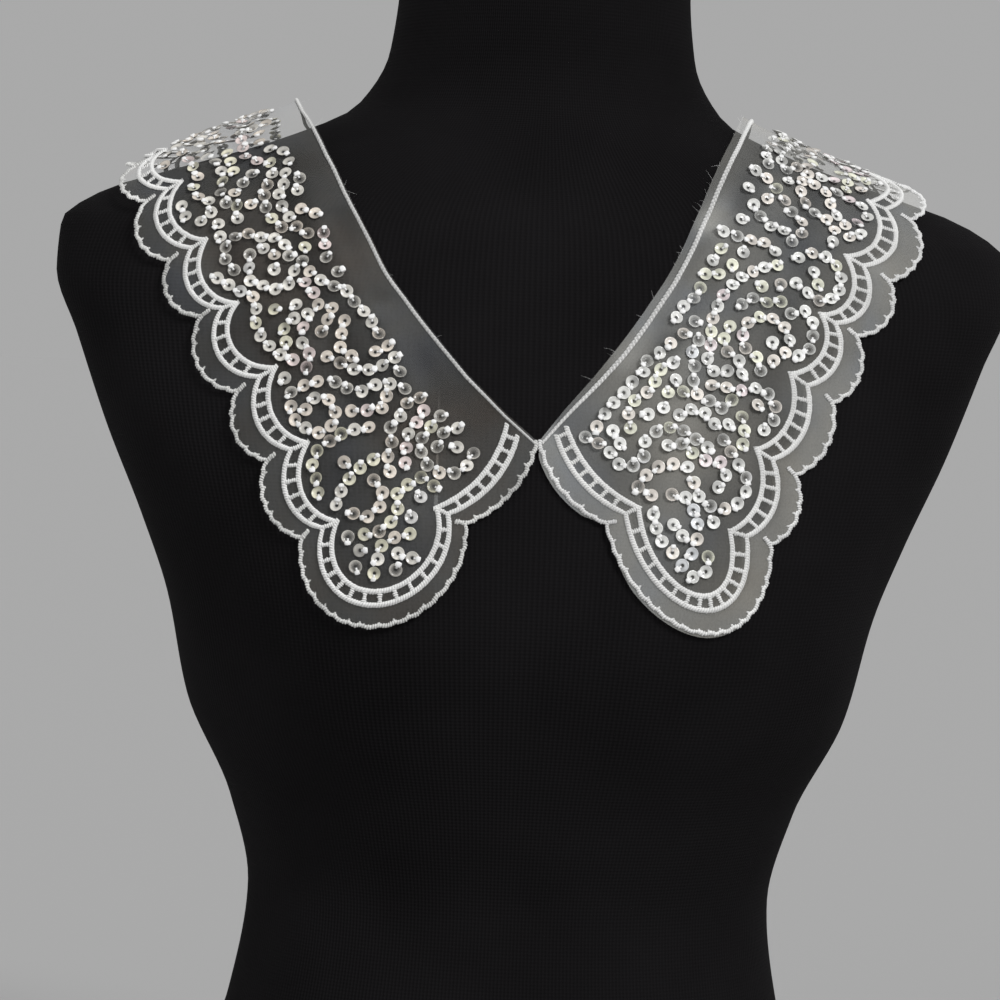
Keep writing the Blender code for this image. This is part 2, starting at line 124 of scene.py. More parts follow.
BACK = [Junction(*row) for row in (
    (124.0, 143, 123.5, 126, 118.5, 74, 0.5, 0.5, 0.27),
    (138.0, 147, 137.5, 130, 134.0, 73, 0, 0, 0.27),
    (152.0, 148, 151.5, 131, 149.5, 72, 0, 0, 0.27),
    (166.0, 149, 166.0, 132, 165.0, 73, 0, 0, 0.27),
    (180.0, 149, 180.0, 132, 180.0, 73, 0, 0, 0.27),
)]
Wing = namedtuple("Wing", "name side rows neck_margin seed")
WINGS = (
    Wing("left", -1, FRONT_LEFT + BACK, TIP_MARGIN, 11),
    Wing("right", 1, FRONT_RIGHT + BACK, 2.7, 29),
)

# Soft folds from one place to another: the solids' own first, then finer creases, listed
Fold = namedtuple("Fold", "wing from_angle from_drop to_angle to_drop rise half_width")
FOLDS = [Fold(*row) for row in (
    ("left", 62, 118, 34, 190, 2.2, 9),
    ("left", 76, 96, 62, 150, 1.6, 8),
    ("right", 60, 96, 22, 178, 2.6, 9),
    ("right", 70, 108, 46, 176, 1.6, 8),
)]
CREASES = [Fold(*row) for row in (
    ("left", 52, 112, 38, 140, 0.9, 5),
    ("left", 44, 126, 27, 172, -0.5, 6),
    ("left", 36, 142, 20, 176, 0.7, 6),
    ("left", 66, 132, 50, 172, -0.4, 6),
    ("left", 30, 176, 26, 216, 0.6, 7),
    ("left", 88, 84, 80, 126, 0.8, 6),
    ("left", 108, 76, 104, 124, 0.7, 7),
    ("left", 131, 82, 128, 134, 0.6, 8),
    ("left", 158, 82, 160, 136, 0.5, 9),
    ("right", 49, 104, 30, 142, 1.5, 4.5),
    ("right", 42, 122, 21, 160, -0.6, 5),
    ("right", 34, 150, 17, 172, 0.9, 5),
    ("right", 57, 128, 42, 168, -0.4, 6),
    ("right", 26, 180, 24, 214, 0.7, 7),
    ("right", 82, 80, 76, 122, 0.9, 5),
    ("right", 106, 76, 100, 122, 0.6, 6),
    ("right", 128, 82, 131, 132, 0.7, 8),
    ("right", 160, 84, 156, 138, 0.5, 9),
)]
SCALLOP_FLARE = 0.5
FLARE_RAYS = 0.5


def ring_curve(column):
    """Heights, values and tangents of one column of FORM_RINGS, never overshooting its rows."""
    heights = np.array([ring.height for ring in FORM_RINGS], float)
    values = np.array([getattr(ring, column) for ring in FORM_RINGS], float)
    rises = np.diff(values) / np.diff(heights)
    before, after = rises[:-1], rises[1:]
    same_way = before * after > 0
    total = np.where(same_way, before + after, 1.0)
    inner = np.where(same_way, 2 * before * after / total, 0.0)
    return heights, values, np.concatenate([rises[:1], inner, rises[-1:]])


RING_CURVES = {column: ring_curve(column) for column in Ring._fields[1:]}


def ring_value(column, height):
    """One column of FORM_RINGS at any height, as a smooth curve."""
    heights, values, tangents = RING_CURVES[column]
    height = np.clip(height, heights[0], heights[-1])
    row = np.clip(np.searchsorted(heights, height, side="right") - 1, 0, len(heights) - 2)
    gap = heights[row + 1] - heights[row]
    t = (height - heights[row]) / gap
    start = values[row] * (2 * t**3 - 3 * t**2 + 1) + tangents[row] * gap * (t**3 - 2 * t**2 + t)
    end = values[row + 1] * (3 * t**2 - 2 * t**3) + tangents[row + 1] * gap * (t**3 - t**2)
    return start + end


def form_level(points):
    """Below zero inside the dress form, zero on its surface and above zero outside."""
    x, y, z = points[..., 0], points[..., 1], points[..., 2]
    half_width = ring_value("half_width", z)
    depth = np.where(y < 0, ring_value("front_depth", z), ring_value("back_depth", z))
    power = ring_value("squareness", z)
    out = ((np.abs(x) - BUST_OUT) / BUST_SPREAD_X)**2
    up = ((z - BUST_HEIGHT) / BUST_SPREAD_Z)**2
    front = np.clip(-y / depth, 0, 1)
    y = y + BUST_RISE * np.exp(-out - up) * front**2 * (3 - 2 * front)
    return ((np.abs(x) / half_width)**power + (np.abs(y) / depth)**power)**(1 / power) - 1


def form_slope(points, step=0.05):
    """The gradient of form_level."""
    return np.stack([(form_level(points + shift) - form_level(points - shift)) / (2 * step)
                     for shift in step * np.eye(3)], axis=-1)


def settle(points, rounds=5):
    """The form's surface points below some points, and the form's outward normals there."""
    points = np.array(points, float)
    for _ in range(rounds):
        slope = form_slope(points)
        points = points - (form_level(points) / (slope**2).sum(-1))[..., None] * slope
    return points, unit(form_slope(points))


def unit(vectors):
    """Vectors scaled to length 1."""
    return vectors / norm(vectors, axis=-1, keepdims=True)


def on_form(angle, drop):
    """A point of the form's surface from its angle round the neck and its drop down the form."""
    heights = np.arange(NECK_LEVEL, LOWEST_CLOTH, -1.0)
    across, along = sin(radians(angle)), -cos(radians(angle))
    low, high = (np.full(len(heights), reach) for reach in (SHORTEST_REACH, LONGEST_REACH))
    for _ in range(HALVINGS):
        reach = (low + high) / 2
        outside = form_level(np.stack([reach * across, reach * along, heights], axis=-1)) > 0
        high = np.where(outside, reach, high)
        low = np.where(outside, low, reach)
    run = np.concatenate([[0], np.cumsum(np.hypot(np.diff(low), np.diff(heights)))])
    reach = np.interp(drop, run, low)
    point = np.array([reach * across, reach * along, np.interp(drop, run, heights)])
    return settle(point)[0]


def blend(start, end, share):
    """Straight blend of two points or values."""
    return start + (end - start) * share


def smooth_through(points, at):
    """A Catmull-Rom curve through points, read at whole and part row numbers."""
    points = np.concatenate([[2 * points[0] - points[1]], points, [2 * points[-1] - points[-2]]])
    row = np.clip(np.floor(at).astype(int), 0, len(points) - 4)
    t = (at - row)[..., None]
    a, b, c, d = (points[row + k] for k in range(4))
    return 0.5 * (2 * b + (c - a) * t + (2 * a - 5 * b + 4 * c - d) * t**2
                  + (3 * b - a - 3 * c + d) * t**3)


def soft_lines(folds, name):
    """One wing's folds: the ends of each on the form, its rise and its half width."""
    return [(on_form(*fold[1:3]), on_form(*fold[3:5]), fold.rise, fold.half_width)
            for fold in folds if fold.wing == name]


def raised(points, lines):
    """How far soft ridges along some lines raise or lower some points."""
    total = np.zeros(points.shape[:-1])
    for start, end, rise, half_width in lines:
        line = end - start
        share = np.clip((points - start) @ line / line.dot(line), 0, 1)
        gap = norm(points - start - share[..., None] * line, axis=-1)
        total = total + rise * np.exp(-(gap / half_width)**2)
    return total


class Cloth:
    """One half of the collar as a surface: scallops run along it, rays cross it."""

    def __init__(self, wing):
        self.wing = wing
        self.name, self.side, self.rows = wing.name, wing.side, wing.rows
        self.edge, self.cusp, self.neck = (
            np.array([on_form(*row[first:first + 2]) for row in self.rows]) for first in (0, 2, 4))
        self.edge_lift = np.array([row.edge_lift for row in self.rows], float)
        self.neck_lift = np.array([row.neck_lift for row in self.rows], float)
        self.folds = soft_lines(FOLDS + CREASES, wing.name)
        self.scallops = len(self.rows) - 1
        self.out = [self.outward(scallop) for scallop in range(self.scallops)]

    def outward(self, scallop):
        """The direction in which a scallop bulges, along the cloth."""
        middle = (self.edge[scallop] + self.edge[scallop + 1]) / 2
        neck_middle = (self.neck[scallop] + self.neck[scallop + 1]) / 2
        out = unit(np.cross(self.edge[scallop + 1] - self.edge[scallop], settle(middle)[1]))
        return out if np.dot(out, middle - neck_middle) > 0 else -out

    def arc(self, scallop, along, ray):
        """Points on the arcs that cross one scallop, each at its own share of the two rays."""
        start, end = (blend(self.edge[k], self.cusp[k], ray[..., None]) for k in (scallop, scallop + 1))
        middle = (start + end) / 2
        chord = end - start
        length = norm(chord, axis=-1)
        edge_middle = (self.edge[scallop] + self.edge[scallop + 1]) / 2
        edge_length = norm(self.edge[scallop + 1] - self.edge[scallop])
        out = self.out[scallop]
        rays = [norm(self.cusp[k] - self.edge[k]) for k in (scallop, scallop + 1)]
        row = self.rows[scallop]
        height = row.bulge * edge_length + (edge_middle - middle) @ out - CROWN_PULL * ray * sum(rays) / 2
        half_turn = 2 * np.arctan(2 * height / length)
        turn = half_turn * (2 * along - 1)
        share = 0.5 + np.sin(turn) / (2 * np.sin(half_turn))
        rise = length * (np.cos(turn) - np.cos(half_turn)) / (2 * np.sin(half_turn))
        rise = blend(rise, 4 * height * along * (1 - along), row.point)
        share = blend(share, along, row.point) + row.lean * rise / length
        return start + chord * share[..., None] + out * rise[..., None]

    def spots(self, scallop, along, rays):
        """Form points, normals and stand-off for shares along a scallop and down its rays.

        Rays run from 0 at the edge over 1 at the ladder's inner side to 2 at the neck edge.
        """
        along, rays = np.broadcast_arrays(np.asarray(along, float), np.asarray(rays, float))
        neck = smooth_through(self.neck, scallop + along)
        lines = self.arc(scallop, along, np.minimum(rays, 1.0))
        lines = blend(lines, neck, np.clip(rays - 1, 0, 1)[..., None])
        points, normals = settle(lines)
        junctions = np.arange(len(self.edge_lift))
        edge_lift = np.interp(scallop + along, junctions, self.edge_lift)
        neck_lift = np.interp(scallop + along, junctions, self.neck_lift)
        lift = blend(edge_lift, neck_lift, rays / 2)
        flare = np.sin(pi * along) * np.clip(1 - rays / FLARE_RAYS, 0, 1)
        return points, normals, lift + raised(points, self.folds) + SCALLOP_FLARE * flare

    def place(self, points, normals, lift, height):
        """Points at a height over the cloth solid's inner face, kept clear of the centre seams."""
        points = points + normals * (CLEAR_OF_FORM + lift + height)[..., None]
        points[..., 0] = self.side * np.maximum(points[..., 0], SEAM_GAP / 2)
        return points

    def turned(self, normals):
        """Normals of the +X half turned to this wing's side."""
        return normals * np.array([self.side, 1, 1])

    def path(self, scallop, along, rays, height):
        """A line over the cloth, from a share and a ray for each of its points, and its normals."""
        points, normals, lift = self.spots(scallop, along, rays)
        return self.place(points, normals, lift, height), self.turned(normals)


# Meshes


def piece(name, points, faces, materials, smooth_angle=None):
    """One object from points in millimetres, riding on the part's only body."""
    mesh = bpy.data.meshes.new(name)
    mesh.from_pydata((np.asarray(points) * MM).tolist(), [], faces)
    for material in materials:
        mesh.materials.append(material)
    mesh.shade_smooth()
    if smooth_angle is not None:
        mesh.set_sharp_from_angle(angle=radians(smooth_angle))
    thing = placed(name, mesh)
    thing.location.y = NECK_AXIS_Y * MM
    bpy.context.view_layer.update()
    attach(thing, "root")
    return thing


def placed(name, data):
    """A new object of the scene."""
    thing = bpy.data.objects.new(name, data)
    bpy.context.scene.collection.objects.link(thing)
    return thing


def store(thing, name, values, kind="FLOAT"):
    """A value or colour for each point of a piece, which its material reads."""
    layer = thing.data.attributes.new(name, kind, "POINT")
    layer.data.foreach_set("color" if kind == "FLOAT_COLOR" else "value", values.ravel())


def tube_faces(rows, sides):
    """The faces round a tube, from each of its rings of points to the next."""
    return [(row * sides + side, row * sides + (side + 1) % sides,
             (row + 1) * sides + (side + 1) % sides, (row + 1) * sides + side)
            for row in range(rows - 1) for side in range(sides)]


class Shape:
    """Points and faces gathered from many small closed forms."""

    def __init__(self):
        self.points = []
        self.faces = []
        self.shades = []
        self.count = 0

    def add(self, points, faces):
        """Add one form."""
        self.points.append(np.asarray(points, float))
        self.faces += [[self.count + k for k in face] for face in faces]
        self.count += len(points)

    def sleeve(self, rings, flip=False):
        """A closed tube through equal rings of points, with flat ends."""
        rows, sides = rings.shape[:2]
        faces = tube_faces(rows, sides)
        faces.append(tuple(reversed(range(sides))))
        faces.append(tuple((rows - 1) * sides + side for side in range(sides)))
        if flip:
            faces = [tuple(reversed(face)) for face in faces]
        self.add(rings.reshape(-1, 3), faces)


def run_along(line):
    """How far each point of a line lies from its start, along it."""
    return np.concatenate([[0], np.cumsum(norm(np.diff(line, axis=0), axis=1))])


def spaced(path, normals, gap):
    """A line read again at even steps of about gap, with its normals and directions."""
    run = run_along(path)
    steps = max(2, int(round(run[-1] / gap)))
    at = np.linspace(0, run[-1], steps + 1)
    points = np.stack([np.interp(at, run, path[:, k]) for k in range(3)], axis=1)
    normals = unit(np.stack([np.interp(at, run, normals[:, k]) for k in range(3)], axis=1))
    ahead = unit(np.gradient(points, axis=0))
    return points, normals, ahead


# The satin section: shares of half the width, and of the height
SECTION = np.array([[-1.0, 0.06], [-0.72, 0.66], [0.0, 1.0], [0.72, 0.66], [1.0, 0.06], [0.0, -0.12]])
VALLEY_HEIGHT = 0.42
# VALLEY_SHADE: how dark the valleys between stitches are painted, as painted shade.
VALLEY_SHADE = 0.7

# How each satin row is stitched: width and height of the row, stitch pitch, how far a stitch leans
# as a share of its width, whether the stitches lean both ways in turn, how narrow the row is between
# two stitches, and how uneven its stitches are
Satin = namedtuple("Satin", "width height pitch lean both_ways valley uneven")
NECK_SATINS = {
    "left": Satin(1.45, 0.9, 0.8, 0.35, True, 0.86, 0.1),
    "right": Satin(1.85, 1.05, 0.85, 0.45, True, 0.86, 0.1),
}
EDGE_SATIN = Satin(1.8, 1.0, 0.95, 0.2, False, 0.7, 0.26)
RAIL_SATIN = Satin(2.1, 1.05, 1.0, 0.4, False, 0.84, 0.12)
RUNG_SATIN = Satin(1.9, 0.95, 0.8, 0.08, True, 0.6, 0.3)
TAIL_SATIN = Satin(1.95, 1.0, 0.85, 0.2, False, 0.7, 0.26)
TOOTH_SATIN = Satin(1.1, 0.7, 0.6, 0.1, False, 0.7, 0.25)


def stitch_row(shape, path, normals, satin, draw, taper=(1.0, 1.0)):
    """A row of satin stitches along a line that lies on the cloth.

    Every second ring of points is the crest of a stitch, and the ring between is the valley.
    """
    points, normals, ahead = spaced(path, np.broadcast_to(normals, path.shape), satin.pitch / 2)
    count = len(points)
    crest = np.arange(count) % 2 == 1
    ease = np.interp(np.linspace(0, 1, count), (0, 0.12, 0.88, 1), (taper[0], 1, 1, taper[1]))
    if count < 8:
        ease = np.linspace(taper[0], taper[1], count)
    jitter = 1 + satin.uneven * draw.uniform(-1, 1, (count, 2))
    half = satin.width / 2 * ease[:, None] * np.where(crest[:, None], jitter, satin.valley)
    height = satin.height * np.sqrt(ease) * np.where(crest, 1.0, VALLEY_HEIGHT)
    lean = np.full(count, satin.lean)
    if satin.both_ways:
        lean = np.where(np.arange(count) % 4 < 2, lean, -lean)
    side = unit(np.cross(normals, ahead))
    rings = np.empty((count, len(SECTION), 3))
    for k, (across, up) in enumerate(SECTION):
        reach = across * np.where(across < 0, half[:, 0], half[:, 1])
        rings[:, k] = (points + side * reach[:, None] + normals * (up * height)[:, None]
                       + ahead * (lean * reach)[:, None])
    shape.sleeve(rings, flip=True)
    # The valley rings get painted shade, the crests none.
    shape.shades.append(np.repeat(np.where(crest, 1.0, VALLEY_SHADE), len(SECTION)))


def satin_piece(cloth, name, solid, shape, material):
    """The joined satin rows of one half as one piece in place of its solid."""
    thing = piece(name + cloth.name, np.concatenate(shape.points), shape.faces, [material],
                  75)
    store(thing, "painted_valley_shade", np.concatenate(shape.shades))
    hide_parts(solid + cloth.name)
    return thing


# Materials


class Surface:
    """A Principled material with constants on its own sockets, and the nodes that feed it."""

    def __init__(self, name, **values):
        self.material = bpy.data.materials.new(name)
        self.material.use_nodes = True
        self.tree = self.material.node_tree
        self.shader = self.tree.nodes["Principled BSDF"]
        for key, value in values.items():
            self.shader.inputs[key.replace("_", " ")].default_value = value

    def node(self, kind, **values):
        """A node with properties, or values for its inputs, given by name."""
        made = self.tree.nodes.new("ShaderNode" + kind)
        for key, value in values.items():
            if hasattr(made, key):
                setattr(made, key, value)
            else:
                made.inputs[key.replace("_", " ")].default_value = value
        return made

    def feed(self, value, name):
        """Link a value to one of the shader's inputs."""
        self.tree.links.new(value, self.shader.inputs[name])

    def maths(self, operation, first, second=None):
        """A maths node of two links or numbers."""
        made = self.node("Math", operation=operation)
        for socket, value in zip(made.inputs, (first, second)):
            if isinstance(value, (int, float)):
                socket.default_value = value
            elif value is not None:
                self.tree.links.new(value, socket)
        return made.outputs[0]

    def plus(self, first, second):
        """The sum of two links or numbers."""
        return self.maths("ADD", first, second)

    def times(self, first, second):
        """The product of two links or numbers."""
        return self.maths("MULTIPLY", first, second)

    def ripple(self, value, length):
        """A wave of one length along a value."""
        return self.maths("SINE", self.times(value, 2 * pi / length))

    def attribute(self, name, output="Fac"):
        """What a piece stores for each of its points."""
        return self.node("Attribute", attribute_name=name).outputs[output]

    def flat_place(self, name):
        """The two coordinates of a flat layout."""
        parts = self.node("SeparateXYZ")
        self.tree.links.new(self.node("UVMap", uv_map=name).outputs["UV"], parts.inputs[0])
        return parts.outputs[0], parts.outputs[1]

    def noise(self, scale, detail=3.0):
        """A noise texture over the piece."""
        made = self.node("TexNoise", Scale=scale, Detail=detail)
        self.tree.links.new(self.node("TexCoord").outputs["Object"], made.inputs["Vector"])
        return made.outputs["Fac"]

    def ramp(self, value, stops):
        """Colours blended through places of a value."""
        made = self.node("ValToRGB")
        line = made.color_ramp
        while len(line.elements) < len(stops):
            line.elements.new(1.0)
        for element, (at, colour) in zip(line.elements, stops):
            element.position = at
            element.color = (*colour, 1.0)
        self.tree.links.new(value, made.inputs["Fac"])
        return made.outputs["Color"]

    def multiplied(self, first, second):
        """One colour times another."""
        mixed = self.node("Mix", data_type="RGBA", blend_type="MULTIPLY")
        mixed.inputs[0].default_value = 1.0
        self.tree.links.new(first, mixed.inputs[6])
        self.tree.links.new(second, mixed.inputs[7])
        return mixed.outputs[2]

    def bump(self, height, strength, distance):
        """Relief from a height in the nodes."""
        made = self.node("Bump", Strength=strength, Distance=distance)
        self.tree.links.new(height, made.inputs["Height"])
        self.feed(made.outputs["Normal"], "Normal")


WALES = 430.0
COURSE = 0.0014
THREAD_GAP = 0.00032


def jersey_material():
    """Black knitted jersey: fine wales up the form, courses across them, and lint."""
    jersey = Surface("jersey_black", Roughness=0.95, Specular_IOR_Level=0.05)
    around, up = jersey.flat_place("wales")
    knit = jersey.plus(jersey.ripple(around, 1 / WALES), jersey.times(jersey.ripple(up, COURSE), 0.35))
    jersey.bump(jersey.plus(knit, jersey.times(jersey.noise(900.0, 4.0), 1.2)), 0.5, 0.00025)
    # The knit ripples run into the colour too, lighter on its ribs and darker between them, as painted
    # shade; the broad noise is random tone.
    shade = jersey.plus(jersey.times(knit, 0.10), jersey.noise(14.0, 4.0))
    colour = jersey.ramp(shade, [(0.2, (0.0048, 0.0044, 0.0048)), (0.8, (0.0098, 0.0092, 0.0100))])
    jersey.feed(colour, "Base Color")
    return jersey.material


def organza_material(name, cover, warm, cool):
    """See-through organza: how much it covers varies at random and with the painted light and shade
    stored in body, and its tint drifts.
    """
    sheer = Surface(name, Roughness=0.5, Specular_IOR_Level=0.4, Sheen_Weight=0.2, Sheen_Roughness=0.4)
    tint = sheer.ramp(sheer.noise(26.0), [(0.30, warm), (0.52, (0.80, 0.80, 0.76)), (0.70, cool)])
    sheer.feed(tint, "Base Color")
    # body carries painted light and shade; the noise is the cloth's own uneven cover.
    share = sheer.times(sheer.plus(sheer.times(sheer.noise(17.0), 1.5), 0.25), sheer.attribute("body"))
    sheer.feed(sheer.times(share, cover), "Alpha")
    warp, weft = (sheer.ripple(value, THREAD_GAP) for value in sheer.flat_place("weave"))
    sheer.bump(sheer.plus(warp, weft), 0.25, 0.00005)
    return sheer.material


def satin_material(name, dark, light):
    """White embroidery thread, with painted shade between its stitches, blotches of tone, fibres along it
    and a soft shine.
    """
    satin = Surface(name, Roughness=0.5, Specular_IOR_Level=0.4, Sheen_Weight=0.15, Sheen_Roughness=0.4)
    blotch = satin.plus(satin.times(satin.noise(60.0), 0.55), satin.times(satin.noise(1400.0, 2.0), 0.45))
    thread = satin.ramp(blotch, [(0.36, dark), (0.6, light)])
    stops = [(VALLEY_SHADE, (VALLEY_SHADE,) * 3), (1.0, (1.0,) * 3)]
    shade = satin.ramp(satin.attribute("painted_valley_shade"), stops)
    satin.feed(satin.multiplied(thread, shade), "Base Color")
    satin.bump(satin.noise(5200.0, 2.0), 0.35, 0.00008)
    return satin.material


def thread_material():
    """The fine white thread that sews the sequins on."""
    thread = Surface("sewing_thread", Roughness=0.45, Specular_IOR_Level=0.5, Sheen_Weight=0.15)
    white = thread.ramp(thread.noise(900.0, 2.0), [(0.3, (0.80, 0.80, 0.79)), (0.6, (0.95,) * 3)])
    thread.feed(white, "Base Color")
    thread.bump(thread.noise(3600.0, 2.0), 0.5, 0.00012)
    return thread.material


def sequin_material(name, clear):
    """Pearly sequin, or a clear one that shows at its rim as a painted rim glint, tinted one by one with
    painted shade and glints in its colour.
    """
    pearl = Surface(name, Roughness=0.22, Specular_IOR_Level=0.7, Coat_Weight=0.5, Coat_Roughness=0.08)
    cloud = pearl.ramp(pearl.noise(700.0, 2.0), [(0.3, (0.80,) * 3), (0.62, (1.0,) * 3)])
    pearl.feed(pearl.multiplied(pearl.attribute("tint", "Color"), cloud), "Base Color")
    if clear:
        # The clear sequin is made opaque towards its rim: a painted rim glint.
        pearl.feed(pearl.plus(pearl.times(pearl.attribute("rim"), 0.62), 0.12), "Alpha")
    pearl.bump(pearl.noise(2600.0, 1.0), 0.15, 0.0001)
    return pearl.material


# Dress form

FORM_COLUMNS = 150
FORM_STEP = 4.4
RIM_HEIGHTS = (0.0, 0.5, 1.4, 3.0)
RIM_INSETS = (1.6, 0.8, 0.25, 0.0)
CAP_RUN = 0.05


def form_ring(height, inset):
    """One level ring of the form, drawn in by inset."""
    turns = np.linspace(0, 2 * pi, FORM_COLUMNS, endpoint=False)
    power = ring_value("squareness", height)
    across, along = np.sin(turns), -np.cos(turns)
    reach = (np.abs(across)**power + np.abs(along)**power)**(-1 / power)
    depth = np.where(along < 0, ring_value("front_depth", height), ring_value("back_depth", height))
    ring = np.stack([ring_value("half_width", height) * reach * across, depth * reach * along,
                     np.full(len(turns), height)], axis=-1)
    settled = settle(ring)[0] if 0 < height < FORM_RINGS[-1].height else ring
    level = settled[:, :2] - inset * unit(settled[:, :2])
    return np.column_stack([level, settled[:, 2]])


def build_form():
    """The dress form in jersey, with softly rounded rims."""
    top = FORM_RINGS[-1].height
    rims = list(zip(RIM_HEIGHTS, RIM_INSETS))
    heights = np.arange(RIM_HEIGHTS[-1] + FORM_STEP, top - RIM_HEIGHTS[-1] - 1, FORM_STEP)
    levels = rims + [(height, 0.0) for height in heights]
    levels += [(top - height, inset) for height, inset in reversed(rims)]
    rings = np.array([form_ring(height, inset) for height, inset in levels])
    rows, columns = rings.shape[:2]
    points = np.concatenate([rings.reshape(-1, 3), [[0, 0, 0], [0, 0, top]]])
    shut = np.concatenate([rings, rings[:, :1]], axis=1)
    run = np.cumsum(norm(np.diff(shut, axis=1), axis=2), axis=1)
    around = np.concatenate([np.zeros((rows, 1)), run / run[:, -1:]], axis=1)
    rise = np.cumsum(norm(np.diff(rings, axis=0), axis=2).mean(axis=1)) * MM
    rise = np.concatenate([[0], rise])
    knit = np.stack(np.broadcast_arrays(around, rise[:, None]), axis=-1)
    wales = [np.stack([knit[:-1, :-1], knit[:-1, 1:], knit[1:, 1:], knit[1:, :-1]], axis=2).ravel()]
    faces = tube_faces(rows, columns)
    centre = rows * columns
    for column in range(columns):
        after = (column + 1) % columns
        here, there = around[0, column:column + 2]
        faces.append((after, column, centre))
        wales.append([there, 0, here, 0, here, -CAP_RUN])
        here, there = around[-1, column:column + 2]
        faces.append((centre - columns + column, centre - columns + after, centre + 1))
        wales.append([here, rise[-1], there, rise[-1], here, rise[-1] + CAP_RUN])
    form = piece("dress_form_jersey", points, faces, [jersey_material()], 50)
    layer = form.data.uv_layers.new(name="wales")
    layer.data.foreach_set("uv", np.concatenate(wales))
    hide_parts("dress_form")
    return form


# Organza

COLUMNS_PER_WINDOW = 4
EDGE_INSET = 0.035
RAW_MARGIN = 2.3
RAW_RAYS = 0.4
# Where the right half's cloth runs on as a raw margin outside the edge cord: scallops and shares
RAW_ALONG = (0.0, 0.12, 0.8, 1.0, 1.1, 1.2, 1.5, 1.75)
RAW_SHARES = (0.0, 1.0, 1.0, 0.0, 0.3, 1.0, 0.8, 0.0)
LADDER_ROWS = 8
FIELD_ROWS = 34


class Organza:
    """One organza half as a fine grid, and a search tree of its outer face."""

    def __init__(self, cloth):
        self.cloth = cloth
        self.rays = np.concatenate([np.linspace(EDGE_INSET, 1, LADDER_ROWS, endpoint=False),
                                    np.linspace(1, 2, FIELD_ROWS)])
        parts, self.along = [], []
        for scallop, row in enumerate(cloth.rows[:-1]):
            last = scallop == cloth.scallops - 1
            cells = row.windows * COLUMNS_PER_WINDOW
            along = np.arange(cells + last) / cells
            raw = np.interp(scallop + along, RAW_ALONG, RAW_SHARES) * (cloth.side > 0)
            shift = raw[:, None] * (RAW_MARGIN / RAY_LENGTH) * np.clip(1 - self.rays / RAW_RAYS, 0, 1)
            parts.append(cloth.spots(scallop, along[:, None], self.rays - shift))
            self.along.append(scallop + along)
        self.points, self.normals, self.lift = (np.concatenate(part) for part in zip(*parts))
        self.along = np.concatenate(self.along)
        self.outer = cloth.place(self.points, self.normals, self.lift, ORGANZA_HEIGHT + ORGANZA_WALL / 2)
        self.turned = cloth.turned(self.normals)
        self.grid = np.arange(self.outer[..., 0].size).reshape(self.outer.shape[:2])
        corners = (self.grid[:-1, :-1], self.grid[1:, :-1], self.grid[1:, 1:], self.grid[:-1, 1:])
        self.quads = np.stack(corners, axis=-1).reshape(-1, 4).tolist()
        self.tree = BVHTree.FromPolygons(self.outer.reshape(-1, 3).tolist(), self.quads)
        self.neck_line = np.concatenate([self.outer[0, :-1], self.outer[:, -1]])
        self.ladder_line = self.outer[:, LADDER_ROWS]
        self.margins = np.interp(run_along(self.neck_line), (0, MARGIN_RUN),
                                 (TIP_MARGIN, cloth.wing.neck_margin))

    def laid(self, points, directions, reach=20.0):
        """Places on the organza straight below some points near it."""
        found = []
        for point, direction in zip(points, directions):
            hit = self.tree.ray_cast(Vector(point + direction * reach), Vector(-direction))[0]
            found.append(hit if hit is not None else self.tree.find_nearest(Vector(point))[0])
        return np.array(found)

    def nearest(self, point):
        """The nearest place on the organza, with its outward normal and its ray."""
        place, _, index, _ = self.tree.find_nearest(Vector(point))
        i, j = divmod(index, len(self.rays) - 1)
        return np.array(place), self.turned[i, j], self.rays[j], self.along[i]


# Painted highlights where the organza catches the light along a fold, and painted shade where a rise is
# below zero: places on the form as for the folds
SHINES = [Fold(*row) for row in (
    ("left", 79.5, 76, 83, 113, 3.2, 1.7),
    ("right", 86, 60, 81, 93, 2.6, 1.7),
    ("right", 84, 66, 46, 104, 2.0, 5),
    ("right", 46, 106, 20, 154, 0.7, 7),
    ("right", 78, 70, 84, 120, 1.1, 16),
    ("right", 24, 158, 18, 172, 0.5, 9),
    ("right", 30, 178, 24, 216, 0.5, 10),
    ("right", 45, 184, 40, 214, -0.35, 10),
    ("left", 74, 84, 90, 120, 0.7, 14),
    ("left", 56, 98, 30, 146, 0.35, 10),
    ("left", 60, 124, 48, 170, -0.3, 12),
    ("left", 26, 176, 22, 214, 0.3, 10),
    ("left", 38, 170, 34, 208, -0.2, 12),
)]

# How much the organza's own slopes across and along the wing show, as painted light on one side of each
# fold and painted shade on the other, and how much at most
ACROSS_SHARE, ALONG_SHARE = 0.9, 0.5
SLOPE_PAINTED_LIGHT = 0.6
SLOPE_LIMITS = (-0.35, 0.6)
LEAST_PAINTED_LIGHT = 0.3
# Outside the ladder band the organza is painted brighter, as painted light, more so on the right half
BORDER_RAYS = (0.45, 0.75)
BORDER_PAINTED_LIGHT = {"left": 1.35, "right": 2.0}


def organza_painted_light(organza):
    """How strongly each place of the organza shows, 1 being plain: painted light and shade from its
    slopes, painted highlights and shade along folds, and painted light outside the ladder band.
    """
    along, across = np.gradient(organza.lift)
    slopes = across * ACROSS_SHARE + along * ALONG_SHARE
    body = 1 + np.clip(SLOPE_PAINTED_LIGHT * slopes / np.abs(slopes).max(), *SLOPE_LIMITS)
    name = organza.cloth.name
    body = body + raised(organza.points, soft_lines(SHINES, name))
    border = np.interp(organza.rays, BORDER_RAYS, (BORDER_PAINTED_LIGHT[name], 1.0))
    return np.maximum(body, LEAST_PAINTED_LIGHT) * border


